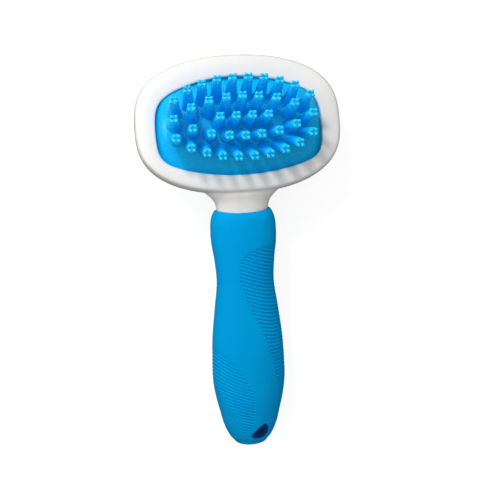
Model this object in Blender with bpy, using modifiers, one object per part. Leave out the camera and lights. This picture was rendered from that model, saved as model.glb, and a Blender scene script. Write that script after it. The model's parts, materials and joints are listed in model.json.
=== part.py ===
"""Rubber massage brush with an oval cushioned head, lying on its back, bristles up.

Every piece is modelled in the head's own frame: X across the head, Y towards the
head's far end, Z out along the bristles, with the origin at the middle of the pad
in the plane of the bezel's inner edge.  The empty brush_frame carries all of them
and is tilted so that the back of the head and the belly of the grip both touch
the table.  Lengths are in metres.
"""
import math

import bmesh
import bpy
from mathutils import Matrix, Vector

MM = 0.001
GAP = 0.3 * MM                      # clearance between touching pieces

# --- head ---------------------------------------------------------------------
HEAD_HALF_X = 46.0 * MM
HEAD_HALF_Y = 31.1 * MM
HEAD_CENTRE_Y = 1.0 * MM            # the band is wider at the far end than at the neck
HEAD_POWERS = (2.2, 2.8)
# The pad's opening is bounded by four arcs, each given by its distance from the
# middle of the pad and its radius; the higher PAD_CORNERS, the sharper they meet.
PAD_SIDE = 37.3 * MM
PAD_FAR = 21.9 * MM
PAD_NEAR = 22.7 * MM
PAD_SIDE_RADIUS = 150.0 * MM
PAD_FAR_RADIUS = 70.0 * MM
PAD_NEAR_RADIUS = 97.0 * MM
PAD_CORNERS = 12
HEAD_SIDES = 48

BEZEL_CREST = 1.3 * MM              # height of the band above its inner edge
BEZEL_WALL = 2.0 * MM
LIP_UNDERSIDE = -3.3 * MM
PART_LINE = -6.3 * MM               # bottom edge of the bezel's side wall
BACK_PLANE = -16.0 * MM             # flat panel on the back of the head
BACK_HALF_X = 31.0 * MM
BACK_HALF_Y = 19.0 * MM
BACK_FAR_EDGE = 18.8 * MM           # straight, and just clear of the table at rest
SHELL_WALL = 2.2 * MM

# --- cushion and bristles -------------------------------------------------------
DOME_HEIGHT = 4.9 * MM
DOME_RADIUS_X = 272.0 * MM
DOME_RADIUS_Y = 31.8 * MM
DOME_END_DROP = 5.3 * MM            # extra fall at the two ends of the long axis
DOME_END_POWER = 12
SKIN = 1.2 * MM
FLANGE_TOP = -3.6 * MM
FLANGE_BOTTOM = -5.2 * MM
FLANGE_REACH = 1.2 * MM             # how far the flange goes under the lip
CENTRE_ZONE = (25.3 * MM, 9.1 * MM)
CENTRE_POWERS = (2.5, 2.5)
RING_ZONE = (32.4 * MM, 15.7 * MM)
RING_POWERS = (2.8, 2.8)
CUSHION_SIDES = 40
VENT_PLACE = (0.4 * MM, -3.0 * MM)
VENT_RADIUS = 0.5 * MM

BRISTLE_LENGTH = 15.5 * MM
BRISTLE_BASE_RADIUS = 2.5 * MM
BRISTLE_TIP_RADIUS = 1.8 * MM
BRISTLE_ROOT = 0.7 * MM             # how far a bristle is sunk in the skin
BRISTLE_SIDES = 8
CENTRE_ROW = ((3.3, 0.0), (10.0, 0.0))                          # mm, mirrored in x and y
MIDDLE_RING = ((0.0, 6.1), (6.7, 5.8), (14.0, 5.0), (21.4, 3.2))
OUTER_RING = ((3.3, 12.2), (9.8, 11.8), (16.2, 10.6), (22.4, 8.9), (28.3, 5.8), (28.8, 0.0))

# --- backing plate and its screws -------------------------------------------------
PLATE_TOP = -5.5 * MM
PLATE_THICK = 1.7 * MM
PLATE_MARGIN = 1.3 * MM             # inside the bezel's side wall
PLATE_VENTS = ((0.0, 0.0), (12.0, 8.0), (12.0, -8.0), (-12.0, 8.0), (-12.0, -8.0))
PLATE_VENT_RADIUS = 2.0 * MM
BEZEL_BOSSES = ((20.0, 24.9), (-20.0, 24.9), (40.9, -5.0), (-40.9, -5.0))
BOSS_RADIUS = 1.9 * MM
SCREW_RADIUS = 1.0 * MM
SCREW_HEAD_RADIUS = 1.8 * MM
SCREW_HEAD_THICK = 1.4 * MM
PLATE_SCREW_LENGTH = 4.2 * MM
HOLE_RADIUS = SCREW_RADIUS + GAP

# --- neck, handle core and grip -----------------------------------------------------
COLLAR_Y = -36.0 * MM
COLLAR_Z = -11.6 * MM
DROOP_START = math.radians(14.0)    # slope of the handle at the collar
DROOP_END = math.radians(21.0)      # and at the butt
HANDLE_LENGTH = 111.3 * MM
GRIP_SECTION_POWER = 2.15
GRIP_SIDES = 28
# distance from the collar, half width, half thickness, in mm
GRIP_STATIONS = ((0.1, 12.3, 7.1), (2.2, 13.7, 8.2), (5.5, 14.6, 8.8), (9.5, 14.85, 9.05),
                 (14.0, 14.75, 9.2),
                 (23.0, 13.6, 9.2), (33.0, 13.0, 9.2), (44.0, 14.3, 9.8), (58.0, 15.95, 10.8),
                 (70.0, 16.55, 11.3), (78.0, 16.6, 11.4), (86.0, 15.6, 11.0), (94.0, 13.8, 10.0),
                 (100.0, 12.3, 9.0), (104.0, 10.7, 8.0), (107.5, 8.4, 6.5), (110.0, 5.2, 4.2))
COLLAR_SWEEPS = (2.0, 1.3, 0.6)      # of the first rings, in mm: the rim dips at top and bottom
# distance from the collar, half width, half thickness, lift off the axis, in mm
NECK_STATIONS = ((-15.0, 24.0, 4.6, -3.2), (-10.0, 19.2, 4.7, -2.2), (-7.0, 15.6, 4.9, -1.6),
                 (-4.0, 12.8, 5.4, -0.8), (0.0, 11.7, 6.15, 0.0))
GRIP_WALL = 2.1 * MM
CORE_WALL = 2.0 * MM
CORE_END = 95.0 * MM
COVER_START = 7.0 * MM
CORE_STATIONS = (4.0, 7.0, 12.0, 22.0, 33.0, 44.0, 58.0, 70.0, 80.0, 88.0, 95.0)   # mm from the collar
CORE_SIDES = 20
CORE_SCREWS = (20.0 * MM, 50.0 * MM, 80.0 * MM)
CORE_POST_RADIUS = 2.8 * MM
CORE_SCREW_LENGTH = 9.0 * MM
COUNTERBORE_DEPTH = 3.0 * MM

# The hanging hole is D-shaped, its round side towards the corner of the butt, and
# runs upright when the brush lies on its back.
HOLE_FROM_COLLAR = 102.9 * MM       # along the handle, to the middle of its straight side
HOLE_ASIDE = 2.95 * MM              # off the centreline, towards +X
HOLE_HALF_LENGTH = 4.6 * MM
HOLE_FLAT_BULGE = 1.2 * MM          # how far the straight side bows out
HOLE_ROUND_BULGE = 4.6 * MM
HOLE_TURN = math.radians(43.0)

REST_TILT = math.radians(12.85)     # head and grip both touch the table at this tilt

WHITE_ABS = (0.83, 0.84, 0.85)
BLUE_PAD = (0.01, 0.33, 0.80)
BLUE_GRIP = (0.01, 0.27, 0.62)
STEEL = (0.55, 0.56, 0.58)
PLATE_GREY = (0.60, 0.61, 0.62)


def material(name, colour, roughness, metallic=0.0):
    """A Principled material with one colour."""
    made = bpy.data.materials.new(name)
    made.use_nodes = True
    shader = made.node_tree.nodes["Principled BSDF"]
    shader.inputs["Base Color"].default_value = (*colour, 1.0)
    shader.inputs["Roughness"].default_value = roughness
    shader.inputs["Metallic"].default_value = metallic
    return made


# --- mesh helpers -----------------------------------------------------------------
def add_mesh(name, verts, faces, collection, parent=None):
    """A mesh object from points and faces, with its faces turned outwards."""
    mesh = bpy.data.meshes.new(name)
    mesh.from_pydata([tuple(v) for v in verts], [], faces)
    shape = bmesh.new()
    shape.from_mesh(mesh)
    bmesh.ops.recalc_face_normals(shape, faces=shape.faces)
    shape.to_mesh(mesh)
    shape.free()
    made = bpy.data.objects.new(name, mesh)
    collection.objects.link(made)
    made.parent = parent
    return made


def loft(name, rings, collection, parent=None, hoop=False):
    """Join equal rings of points; a hoop closes on itself, otherwise both ends are filled."""
    count = len(rings[0])
    verts = [p for ring in rings for p in ring]
    faces = []
    last = len(rings) if hoop else len(rings) - 1
    for k in range(last):
        a = k * count
        b = ((k + 1) % len(rings)) * count
        for i in range(count):
            j = (i + 1) % count
            faces.append((a + i, a + j, b + j, b + i))
    if not hoop:
        for start in (0, (len(rings) - 1) * count):
            hub = len(verts)
            verts.append(sum((Vector(verts[start + i]) for i in range(count)), Vector()) / count)
            faces += [(start + i, start + (i + 1) % count, hub) for i in range(count)]
    return add_mesh(name, verts, faces, collection, parent)


def oval(half_x, half_y, powers, count, centre_y=0.0):
    """Points around a rounded oval (a superellipse), anticlockwise from +X."""
    points = []
    for i in range(count):
        turn = 2.0 * math.pi * i / count
        c = math.cos(turn)
        s = math.sin(turn)
        x = half_x * math.copysign(abs(c) ** (2.0 / powers[0]), c)
        y = half_y * math.copysign(abs(s) ** (2.0 / powers[1]), s)
        points.append((x, y + centre_y))
    return points


def cylinder(name, radius, length, centre, collection, parent=None, turn=None, sides=12):
    """A cylinder about the local Z axis, centred on a point of its parent's frame."""
    shape = bmesh.new()
    bmesh.ops.create_cone(shape, cap_ends=True, segments=sides, radius1=radius,
                          radius2=radius, depth=length)
    mesh = bpy.data.meshes.new(name)
    shape.to_mesh(mesh)
    shape.free()
    made = bpy.data.objects.new(name, mesh)
    collection.objects.link(made)
    made.parent = parent
    made.location = centre
    if turn:
        made.rotation_euler = turn
    return made


def boolean(target, tool, operation):
    """Add an exact Boolean by a tool, which is then only a guide."""
    modifier = target.modifiers.new(tool.name, "BOOLEAN")
    modifier.operation = operation
    modifier.solver = "EXACT"
    modifier.object = tool
    tool.hide_render = True
    tool.display_type = "WIRE"


def finish(piece, finish_material, smooth_below=35.0):
    """Give a piece its material and smooth its rounded faces."""
    piece.data.materials.append(finish_material)
    piece.data.shade_smooth()
    piece.data.set_sharp_from_angle(angle=math.radians(smooth_below))


def through(points, place):
    """Smooth interpolation in a table of (place, value, value...), Hermite between rows."""
    k = max(i for i in range(len(points) - 1) if points[i][0] <= place or i == 0)
    p1, p2 = points[k], points[k + 1]
    p0, p3 = points[max(k - 1, 0)], points[min(k + 2, len(points) - 1)]
    span = p2[0] - p1[0]
    t = (place - p1[0]) / span
    values = []
    for c in range(1, len(p1)):
        m1 = (p2[c] - p0[c]) / (p2[0] - p0[0]) * span
        m2 = (p3[c] - p1[c]) / (p3[0] - p1[0]) * span
        values.append((2 * t**3 - 3 * t**2 + 1) * p1[c] + (t**3 - 2 * t**2 + t) * m1
                      + (3 * t**2 - 2 * t**3) * p2[c] + (t**3 - t**2) * m2)
    return values


# --- head pieces -------------------------------------------------------------------
def head_ring(inset, z, count=HEAD_SIDES):
    """A ring parallel to the head's outline, inset from it, at height z."""
    points = oval(HEAD_HALF_X - inset, HEAD_HALF_Y - inset, HEAD_POWERS, count, HEAD_CENTRE_Y)
    return [(x, y, z) for x, y in points]


def pad_outline(towards, grow=0.0):
    """The pad opening's outline, grown by a margin, in the directions of given points."""
    arcs = ((0.0, PAD_SIDE, PAD_SIDE_RADIUS), (0.5 * math.pi, PAD_FAR, PAD_FAR_RADIUS),
            (math.pi, PAD_SIDE, PAD_SIDE_RADIUS), (-0.5 * math.pi, PAD_NEAR, PAD_NEAR_RADIUS))
    points = []
    for x, y in towards:
        direction = math.atan2(y, x)
        total = 0.0
        for facing, apex, radius in arcs:
            back = (radius - apex) * math.cos(direction - facing)
            reach = math.sqrt(back**2 + (radius + grow)**2 - (radius - apex)**2) - back
            total += reach**-PAD_CORNERS
        reach = total**(-1.0 / PAD_CORNERS)
        points.append((reach * math.cos(direction), reach * math.sin(direction)))
    return points


def band_ring(share, z):
    """A ring part of the way from the pad opening (0) to the head's outline (1)."""
    outer = oval(HEAD_HALF_X, HEAD_HALF_Y, HEAD_POWERS, HEAD_SIDES, HEAD_CENTRE_Y)
    inner = pad_outline(outer)
    return [((1 - share) * a[0] + share * b[0], (1 - share) * a[1] + share * b[1], z)
            for a, b in zip(inner, outer)]


def make_bezel(parts, cutters, frame):
    """The white band: a rounded hoop with a lip over the pad, a side wall and four bosses."""
    crest = BEZEL_CREST
    rings = [band_ring(0.0, LIP_UNDERSIDE), band_ring(0.0, 0.0), band_ring(0.06, 0.45 * crest),
             band_ring(0.2, 0.85 * crest), band_ring(0.42, crest), band_ring(0.64, 0.6 * crest),
             band_ring(0.82, -0.6 * crest), band_ring(0.95, -1.9 * crest),
             band_ring(1.0, LIP_UNDERSIDE - 0.4 * MM), head_ring(0.0, PART_LINE),
             head_ring(BEZEL_WALL, PART_LINE), head_ring(BEZEL_WALL, LIP_UNDERSIDE)]
    bezel = loft("head_bezel", rings, parts, frame, hoop=True)
    for number, (x, y) in enumerate(BEZEL_BOSSES, 1):
        bottom = PLATE_TOP + GAP
        top = LIP_UNDERSIDE + 0.8 * MM
        middle = (x * MM, y * MM, 0.5 * (bottom + top))
        post = cylinder(f"bezel_post_{number}", BOSS_RADIUS, top - bottom, middle, cutters, frame)
        boolean(bezel, post, "UNION")
    for number, (x, y) in enumerate(BEZEL_BOSSES, 1):
        depth = 6.0 * MM
        middle = (x * MM, y * MM, LIP_UNDERSIDE + 0.3 * MM - 0.5 * depth)
        pilot = cylinder(f"bezel_pilot_{number}", HOLE_RADIUS, depth, middle, cutters, frame)
        boolean(bezel, pilot, "DIFFERENCE")
    return bezel


def dome(x, y):
    """Height of the cushion's outer face above the head's plane."""
    bulge = DOME_HEIGHT - y * y / (2 * DOME_RADIUS_Y) - x * x / (2 * DOME_RADIUS_X)
    return bulge - DOME_END_DROP * (abs(x) / PAD_SIDE) ** DOME_END_POWER


def dome_normal(x, y):
    """Outward direction of the cushion's face, away from its steep ends."""
    return Vector((x / DOME_RADIUS_X, y / DOME_RADIUS_Y, 1.0)).normalized()


def zone_outline(size, powers, grow=0.0):
    return oval(size[0] + grow, size[1] + grow, powers, CUSHION_SIDES)


def skin_ring(outline, share, below=0.0):
    """An outline shrunk about the middle and laid on the dome, or below its face."""
    return [(share * x, share * y, dome(share * x, share * y) - below) for x, y in outline]


def between(inner, outer, share, below=0.0):
    """A ring on the dome part of the way between two outlines."""
    points = [((1 - share) * a[0] + share * b[0], (1 - share) * a[1] + share * b[1])
              for a, b in zip(inner, outer)]
    return [(x, y, dome(x, y) - below) for x, y in points]


def mirrored(places):
    """Every place in mm with its reflections in x and in y, each once."""
    found = []
    for x, y in places:
        for sx in (1, -1):
            for sy in (1, -1):
                point = (sx * x * MM, sy * y * MM)
                if point not in found:
                    found.append(point)
    return found


def bristle(name, x, y, collection, frame):
    """One tapered bristle standing square to the dome, with a rounded end."""
    shape = bmesh.new()
    levels = ((0.0, BRISTLE_BASE_RADIUS), (BRISTLE_ROOT, BRISTLE_BASE_RADIUS),
              (BRISTLE_ROOT + BRISTLE_LENGTH - 0.8 * MM, BRISTLE_TIP_RADIUS),
              (BRISTLE_ROOT + BRISTLE_LENGTH, 0.6 * BRISTLE_TIP_RADIUS))
    rings = []
    for height, radius in levels:
        ring = [shape.verts.new((radius * math.cos(2 * math.pi * i / BRISTLE_SIDES),
                                 radius * math.sin(2 * math.pi * i / BRISTLE_SIDES),
                                 height)) for i in range(BRISTLE_SIDES)]
        rings.append(ring)
    for low, high in zip(rings, rings[1:]):
        for i in range(BRISTLE_SIDES):
            j = (i + 1) % BRISTLE_SIDES
            shape.faces.new((low[i], low[j], high[j], high[i]))
    shape.faces.new(list(reversed(rings[0])))
    shape.faces.new(rings[-1])
    mesh = bpy.data.meshes.new(name)
    shape.to_mesh(mesh)
    shape.free()
    made = bpy.data.objects.new(name, mesh)
    collection.objects.link(made)
    made.parent = frame
    normal = dome_normal(x, y)
    made.location = Vector((x, y, dome(x, y))) - BRISTLE_ROOT * normal
    made.rotation_mode = "QUATERNION"
    made.rotation_quaternion = Vector((0, 0, 1)).rotation_difference(normal)
    return made


def plant(zone, places, label, cutters, frame):
    """Join bristles to a zone of the cushion."""
    for number, (x, y) in enumerate(places, 1):
        boolean(zone, bristle(f"{label}_{number:02d}", x, y, cutters, frame), "UNION")


def make_cushion_centre(parts, cutters, frame):
    """The part of the cushion that gives most, with the middle eighteen bristles."""
    outline = zone_outline(CENTRE_ZONE, CENTRE_POWERS, -0.5 * GAP)
    shares = (0.2, 0.6, 1.0)
    rings = [skin_ring(outline, s) for s in shares]
    rings += [skin_ring(outline, s, SKIN) for s in reversed(shares)]
    zone = loft("cushion_centre", rings, parts, frame)
    plant(zone, mirrored(CENTRE_ROW + MIDDLE_RING), "centre_bristle", cutters, frame)
    vent = cylinder("vent_cutter", VENT_RADIUS, 10 * MM, (*VENT_PLACE, DOME_HEIGHT), cutters,
                    frame, sides=12)
    boolean(zone, vent, "DIFFERENCE")
    return zone


def make_cushion_ring(parts, cutters, frame):
    """The part of the cushion around the centre, with the outer twenty-two bristles."""
    inner = zone_outline(CENTRE_ZONE, CENTRE_POWERS, 0.5 * GAP)
    outer = zone_outline(RING_ZONE, RING_POWERS, -0.5 * GAP)
    shares = (0.0, 0.5, 1.0)
    rings = [between(inner, outer, s) for s in shares]
    rings += [between(inner, outer, s, SKIN) for s in reversed(shares)]
    zone = loft("cushion_ring", rings, parts, frame, hoop=True)
    plant(zone, mirrored(OUTER_RING), "outer_bristle", cutters, frame)
    return zone


def make_cushion_skirt(parts, frame):
    """The cushion's sloping margin and the flange that the bezel's lip clamps."""
    inner = zone_outline(RING_ZONE, RING_POWERS, 0.5 * GAP)
    edge = pad_outline(inner, -GAP)
    flange = pad_outline(inner, FLANGE_REACH)
    root = pad_outline(inner, -1.6 * MM)
    rings = [between(inner, edge, s) for s in (0.0, 0.4, 0.75, 1.0)]
    rings.append([(x, y, FLANGE_TOP) for x, y in edge])
    rings.append([(x, y, FLANGE_TOP) for x, y in flange])
    rings.append([(x, y, FLANGE_BOTTOM) for x, y in flange])
    rings.append([(x, y, FLANGE_BOTTOM) for x, y in root])
    rings.append(between(inner, edge, 0.5, 1.3 * SKIN))
    rings.append(between(inner, edge, 0.0, SKIN))
    return loft("cushion_skirt", rings, parts, frame, hoop=True)


def make_backing_plate(parts, cutters, frame):
    """The rigid oval plate that holds the flange up against the bezel's lip."""
    inset = BEZEL_WALL + PLATE_MARGIN
    rings = [head_ring(inset, PLATE_TOP), head_ring(inset, PLATE_TOP - PLATE_THICK)]
    plate = loft("pad_backing_plate", rings, parts, frame)
    middle = PLATE_TOP - 0.5 * PLATE_THICK
    holes = [(x, y, PLATE_VENT_RADIUS) for x, y in PLATE_VENTS]
    holes += [(x, y, HOLE_RADIUS) for x, y in BEZEL_BOSSES]
    for number, (x, y, radius) in enumerate(holes, 1):
        hole = cylinder(f"plate_hole_{number}", radius, 4 * PLATE_THICK,
                        (x * MM, y * MM, middle), cutters, frame)
        boolean(plate, hole, "DIFFERENCE")
    return plate


def screw(name, length, place, turn, parts, frame):
    """A pan-head screw: turned, with its head at the bottom of its own Z axis."""
    profile = ((0.0, length), (SCREW_RADIUS * 0.6, length), (SCREW_RADIUS, length - 0.6 * MM),
               (SCREW_RADIUS, 0.0), (SCREW_HEAD_RADIUS, 0.0),
               (SCREW_HEAD_RADIUS, -0.6 * SCREW_HEAD_THICK),
               (0.6 * SCREW_HEAD_RADIUS, -SCREW_HEAD_THICK), (0.0, -SCREW_HEAD_THICK))
    mesh = bpy.data.meshes.new(name)
    mesh.from_pydata([(x, 0.0, z) for x, z in profile],
                     [(i, i + 1) for i in range(len(profile) - 1)], [])
    made = bpy.data.objects.new(name, mesh)
    parts.objects.link(made)
    turning = made.modifiers.new("turned", "SCREW")
    turning.steps = 10
    turning.render_steps = 10
    turning.use_merge_vertices = True
    turning.merge_threshold = 0.00001
    made.parent = frame
    made.location = place
    made.rotation_euler = turn
    return made


# --- neck, core and grip -------------------------------------------------------------
def handle_frame(distance):
    """Point, tangent and upward normal of the handle's axis, a shallow arc."""
    bend = HANDLE_LENGTH / (DROOP_END - DROOP_START)
    slope = DROOP_START + distance / bend
    y = COLLAR_Y - bend * (math.sin(slope) - math.sin(DROOP_START))
    z = COLLAR_Z - bend * (math.cos(DROOP_START) - math.cos(slope))
    return (Vector((0, y, z)), Vector((0, -math.cos(slope), -math.sin(slope))),
            Vector((0, -math.sin(slope), math.cos(slope))), slope)


def section(distance, half_width, half_thick, sides, lift=0.0, start=0.0, turn=2 * math.pi,
            sweep=0.0):
    """Points of a rounded cross-section of the handle, or of a stretch of it.

    The sweep is how far its top and bottom lie beyond its two sides, towards the butt.
    """
    centre, along, up, _ = handle_frame(distance)
    whole = abs(turn - 2 * math.pi) < 1e-6
    count = sides if whole else sides + 1
    points = []
    for i in range(count):
        a = start + turn * i / sides
        c = math.cos(a)
        s = math.sin(a)
        x = half_width * math.copysign(abs(c) ** (2 / GRIP_SECTION_POWER), c)
        h = half_thick * math.copysign(abs(s) ** (2 / GRIP_SECTION_POWER), s) + lift
        points.append(centre + Vector((x, 0, 0)) + h * up + sweep * s * s * along)
    return points


def grip_size(distance):
    """Half width and half thickness of the grip at a distance from the collar."""
    width, thick = through(GRIP_STATIONS, distance / MM)
    return width * MM, thick * MM


def core_size(distance):
    width, thick = grip_size(distance)
    return width - GRIP_WALL - GAP, thick - GRIP_WALL - GAP


def make_body(parts, cutters, frame):
    """Back of the head, neck and open handle trough, one moulding."""
    wall = SHELL_WALL
    rim = PART_LINE - GAP
    back = [(x, min(y, BACK_FAR_EDGE), BACK_PLANE) for x, y in
            oval(BACK_HALF_X, BACK_HALF_Y, HEAD_POWERS, HEAD_SIDES, HEAD_CENTRE_Y)]
    rings = [head_ring(0.0, rim), head_ring(0.8 * MM, rim - 2.8 * MM),
             head_ring(4.0 * MM, rim - 6.0 * MM), head_ring(8.0 * MM, rim - 8.4 * MM), back]
    body = loft("body_shell", rings, parts, frame)

    stations = [(d * MM, w * MM, t * MM, lift * MM) for d, w, t, lift in NECK_STATIONS]
    stations += [(d * MM, *core_size(d * MM), 0.0) for d in CORE_STATIONS]
    neck = loft("neck_and_core", [section(d, w, t, CORE_SIDES, lift) for d, w, t, lift in stations],
                cutters, frame)
    boolean(body, neck, "UNION")

    hollow = [head_ring(wall, rim + 2.0 * MM), head_ring(wall + 0.5 * MM, rim - 2.4 * MM),
              head_ring(wall + 4.2 * MM, rim - 5.6 * MM), head_ring(wall + 8.5 * MM, rim - 7.3 * MM)]
    boolean(body, loft("bowl_hollow", hollow, cutters, frame), "DIFFERENCE")

    inner = [(d, w - CORE_WALL, t - CORE_WALL) for d, w, t, _ in stations[4:-1]]
    inner.append((CORE_END - CORE_WALL, *[v - CORE_WALL for v in core_size(CORE_END - CORE_WALL)]))
    hollow = [section(d, w, t, CORE_SIDES - 4) for d, w, t in inner]
    boolean(body, loft("core_hollow", hollow, cutters, frame), "DIFFERENCE")

    above = []
    for distance in (COVER_START, 30 * MM, 55 * MM, 80 * MM, CORE_END + 5 * MM):
        centre, _, up, _ = handle_frame(distance)
        corners = ((-25, 0), (25, 0), (25, 25), (-25, 25))
        above.append([centre + Vector((x * MM, 0, 0)) + h * MM * up for x, h in corners])
    boolean(body, loft("trough_opening", above, cutters, frame), "DIFFERENCE")

    for number, distance in enumerate(CORE_SCREWS, 1):
        floor = core_size(distance)[1] - 0.5 * CORE_WALL
        add_post(body, f"trough_post_{number}", distance, -floor, -GAP, CORE_POST_RADIUS,
                 "UNION", cutters, frame)
    for number, distance in enumerate(CORE_SCREWS, 1):
        add_post(body, f"trough_pilot_{number}", distance, -6.3 * MM, 2.0 * MM, HOLE_RADIUS,
                 "DIFFERENCE", cutters, frame)
    return body


def add_post(target, name, distance, low, high, radius, operation, cutters, frame):
    """Join or cut a round post square to the handle's axis."""
    centre, _, up, slope = handle_frame(distance)
    middle = centre + 0.5 * (low + high) * up
    post = cylinder(name, radius, high - low, middle, cutters, frame, (slope, 0, 0))
    boolean(target, post, operation)


def make_core_cover(parts, cutters, frame):
    """The lid over the handle trough, hidden under the grip, with three screw posts."""
    half = CORE_SIDES // 2
    places = [COVER_START + GAP] + [d * MM for d in CORE_STATIONS if d * MM > COVER_START]
    rings = []
    for distance in places:
        width, thick = core_size(distance)
        lift = 0.5 * GAP
        outer = section(distance, width, thick - lift, half, lift, 0.0, math.pi)
        inner = section(distance, width - CORE_WALL, thick - CORE_WALL - lift, half, lift,
                        math.pi, -math.pi)
        rings.append(outer + inner)
    cover = half_tube("core_cover", rings, half, parts, frame)
    for number, distance in enumerate(CORE_SCREWS, 1):
        roof = core_size(distance)[1] - 0.5 * CORE_WALL
        add_post(cover, f"cover_post_{number}", distance, 0.5 * GAP, roof, CORE_POST_RADIUS,
                 "UNION", cutters, frame)
    for number, distance in enumerate(CORE_SCREWS, 1):
        roof = core_size(distance)[1]
        add_post(cover, f"cover_hole_{number}", distance, -1.0 * MM, roof + 1.0 * MM,
                 HOLE_RADIUS, "DIFFERENCE", cutters, frame)
    for number, distance in enumerate(CORE_SCREWS, 1):
        roof = core_size(distance)[1]
        add_post(cover, f"counterbore_{number}", distance, roof - COUNTERBORE_DEPTH,
                 roof + 1.0 * MM, SCREW_HEAD_RADIUS + GAP, "DIFFERENCE", cutters, frame)
    return cover


def half_tube(name, rings, half, parts, frame):
    """Join arch-shaped rings and fill the two arch-shaped ends with strips of faces."""
    count = len(rings[0])
    verts = [p for ring in rings for p in ring]
    faces = []
    for k in range(len(rings) - 1):
        a = k * count
        for i in range(count):
            j = (i + 1) % count
            faces.append((a + i, a + j, a + count + j, a + count + i))
    for start in (0, (len(rings) - 1) * count):
        for i in range(half):
            faces.append((start + i, start + i + 1, start + count - 2 - i, start + count - 1 - i))
    return add_mesh(name, verts, faces, parts, frame)


def make_grip(parts, cutters, frame):
    """The soft blue sleeve with its rounded butt and the hanging hole through it."""
    start = math.pi / GRIP_SIDES
    sweeps = [v * MM for v in COLLAR_SWEEPS] + [0.0] * (len(GRIP_STATIONS) - len(COLLAR_SWEEPS))
    rings = [section(d * MM, w * MM, t * MM, GRIP_SIDES, start=start, sweep=sweep)
             for (d, w, t), sweep in zip(GRIP_STATIONS, sweeps)]
    rings.append(section(HANDLE_LENGTH - 0.3 * MM, 2.0 * MM, 1.6 * MM, GRIP_SIDES, start=start))
    grip = loft("grip_sleeve", rings, parts, frame)

    places = [0.0] + [d * MM for d in CORE_STATIONS[:-1]] + [CORE_END + GAP]
    bore = []
    for distance in places:
        width, thick = core_size(max(distance, 4.0 * MM))
        bore.append(section(distance, width + GAP, thick + GAP, CORE_SIDES))
    boolean(grip, loft("core_socket", bore, cutters, frame), "DIFFERENCE")

    far = [(x, y) for x, y in oval(HOLE_HALF_LENGTH, HOLE_ROUND_BULGE, (2.0, 2.0), 20) if y < 0]
    near = [(x, y) for x, y in oval(HOLE_HALF_LENGTH, HOLE_FLAT_BULGE, (2.6, 2.6), 20) if y >= 0]
    slot = [[(x, y, z * MM) for x, y in near + far] for z in (-20, 20)]
    hole = loft("hanging_hole", slot, cutters, frame)
    centre = handle_frame(HOLE_FROM_COLLAR)[0]
    upright = Matrix.Rotation(REST_TILT, 4, "X") @ Matrix.Rotation(HOLE_TURN, 4, "Z")
    hole.location = centre + Vector((HOLE_ASIDE, 0, 0))
    hole.rotation_euler = upright.to_euler()
    boolean(grip, hole, "DIFFERENCE")
    return grip


# --- assembly ---------------------------------------------------------------------
def clear_scene():
    for old in list(bpy.data.objects):
        bpy.data.objects.remove(old, do_unlink=True)


def stand_on_table(frame, parts):
    """Put the middle of the bounding box's bottom at the world's origin."""
    bpy.context.view_layer.update()
    graph = bpy.context.evaluated_depsgraph_get()
    low = Vector((math.inf,) * 3)
    high = Vector((-math.inf,) * 3)
    for piece in parts.objects:
        shown = piece.evaluated_get(graph)
        mesh = shown.to_mesh()
        for vertex in mesh.vertices:
            point = shown.matrix_world @ vertex.co
            low = Vector(map(min, low, point))
            high = Vector(map(max, high, point))
        shown.to_mesh_clear()
    frame.location -= Vector((0.5 * (low.x + high.x), 0.5 * (low.y + high.y), low.z))
    bpy.context.view_layer.update()


def main():
    clear_scene()
    scene_root = bpy.context.scene.collection
    parts = bpy.data.collections.new("massage_brush")
    cutters = bpy.data.collections.new("cutters")
    scene_root.children.link(parts)
    scene_root.children.link(cutters)

    frame = bpy.data.objects.new("brush_frame", None)
    scene_root.objects.link(frame)
    frame.rotation_euler = (-REST_TILT, 0.0, 0.0)

    white = material("white_abs", WHITE_ABS, 0.25)
    pad_rubber = material("pad_rubber", BLUE_PAD, 0.35)
    grip_rubber = material("grip_rubber", BLUE_GRIP, 0.55)
    steel = material("screw_steel", STEEL, 0.3, 1.0)
    grey = material("plate_plastic", PLATE_GREY, 0.5)

    finish(make_bezel(parts, cutters, frame), white)
    finish(make_body(parts, cutters, frame), white)
    finish(make_core_cover(parts, cutters, frame), grey)
    finish(make_cushion_centre(parts, cutters, frame), pad_rubber)
    finish(make_cushion_ring(parts, cutters, frame), pad_rubber)
    finish(make_cushion_skirt(parts, frame), pad_rubber)
    finish(make_backing_plate(parts, cutters, frame), grey)
    finish(make_grip(parts, cutters, frame), grip_rubber)

    under_plate = PLATE_TOP - PLATE_THICK - GAP
    for number, (x, y) in enumerate(BEZEL_BOSSES, 1):
        place = (x * MM, y * MM, under_plate)
        finish(screw(f"plate_screw_{number}", PLATE_SCREW_LENGTH, place, (0, 0, 0), parts, frame),
               steel)
    for number, distance in enumerate(CORE_SCREWS, 1):
        centre, _, up, slope = handle_frame(distance)
        seat = core_size(distance)[1] - COUNTERBORE_DEPTH + GAP
        finish(screw(f"core_screw_{number}", CORE_SCREW_LENGTH, centre + seat * up,
                     (slope + math.pi, 0, 0), parts, frame), steel)

    stand_on_table(frame, parts)


main()
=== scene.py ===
"""Looks of the rubber massage brush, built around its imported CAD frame.

All shapes are made in the head's own frame, as in the CAD: X across the head, Y towards
the head's far end, Z out along the bristles, with the origin at the middle of the pad in
the plane of the bezel's inner edge.  They are then turned into the row's frame, where the
brush lies on its back.  Lengths are in metres.
"""
import json
import math

import bmesh
import bpy
import numpy as np
from mathutils import Matrix, Vector


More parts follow.
